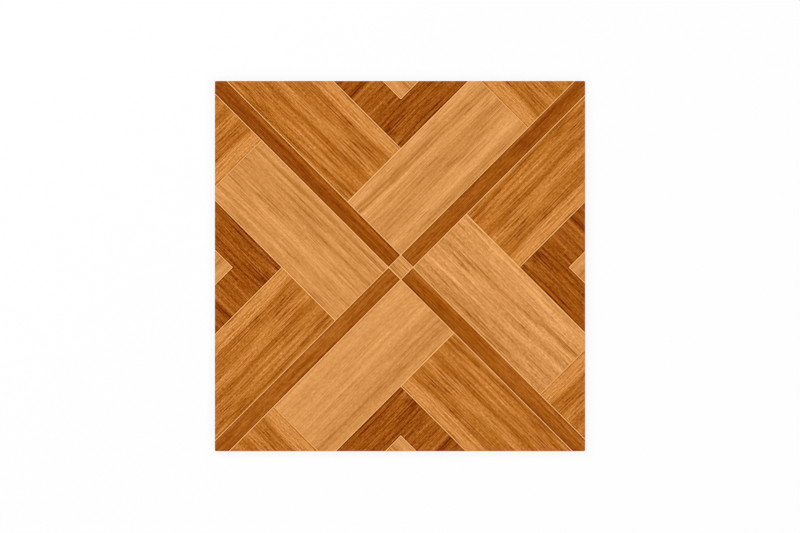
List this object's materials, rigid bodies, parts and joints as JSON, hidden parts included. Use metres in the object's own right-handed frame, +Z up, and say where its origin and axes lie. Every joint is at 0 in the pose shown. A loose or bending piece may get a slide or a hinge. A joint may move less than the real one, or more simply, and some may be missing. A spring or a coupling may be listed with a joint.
{
  "type": "floor tile",
  "caption": "Square glazed ceramic floor tile with rounded arrises and a honeycomb relief pressed into its back, its face printed as a diagonal basket of wood planks.",
  "frame": {"origin": "under the centre of the tile, on the plane of the ribs of its back", "axes": "+Z up out of the glazed face; X and Y along the tile's edges, with +Y towards the edge that the picture shows at the top"},
  "size_m": [0.45, 0.45, 0.008],
  "materials": {
    "glazed_ceramic": "satin glaze printed as oiled wood planks in three tones; the edges and back are bare fired clay"
  },
  "bodies": {
    "root": {"floor_tile": "glazed_ceramic"}
  },
  "joints": []
}
